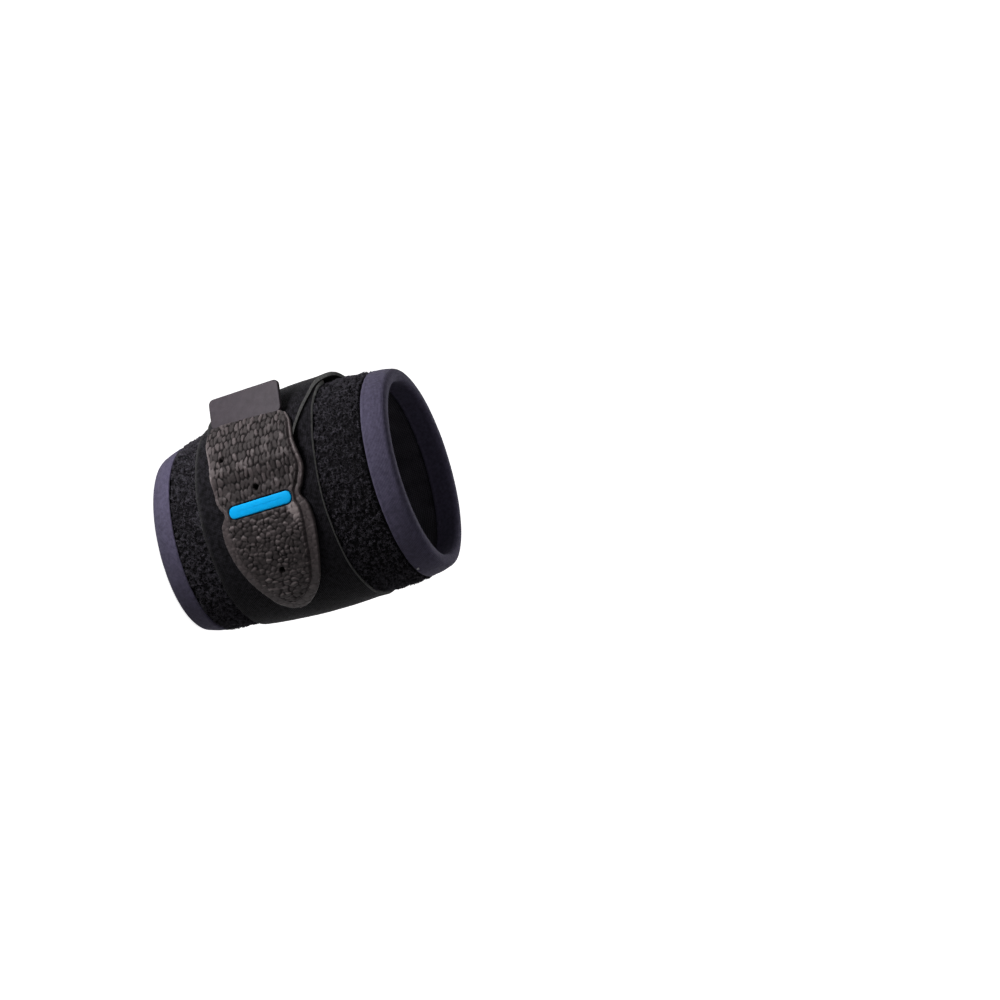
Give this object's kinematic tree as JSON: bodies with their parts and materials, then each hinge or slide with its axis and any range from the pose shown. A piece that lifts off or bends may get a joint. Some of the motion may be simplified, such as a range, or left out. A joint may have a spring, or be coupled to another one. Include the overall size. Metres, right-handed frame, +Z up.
{
  "type": "wrist support",
  "caption": "Wrap-round wrist support: padded loop-faced tube with bound rims, a strap lapped over itself and a moulded fastening tongue with a tab.",
  "frame": {"origin": "middle of the whole box's floor, on the plane of the proximal rim", "axes": "+Z up the tube from the proximal rim to the distal rim, -Y out through the tongue's face, -X towards the tongue's upper end and tab"},
  "size_m": [0.0708, 0.0552, 0.081],
  "materials": {
    "loop_pile": "matt black brushed loop pile",
    "binding_cloth": "slate knitted edging, soft sheen",
    "strap_cloth": "black close-knit strap with pale cut edges",
    "moulded_tongue": "brown-grey moulded leather-look texture, satin",
    "plain_tab": "plain brown-grey, fine satin grain",
    "blue_inlay": "azure, satin"
  },
  "bodies": {
    "root": {"band": "loop_pile", "binding_proximal": "binding_cloth", "binding_distal": "binding_cloth", "strap": "strap_cloth", "tongue": "moulded_tongue", "label_tab": "plain_tab", "accent_bar": "blue_inlay"}
  },
  "joints": []
}
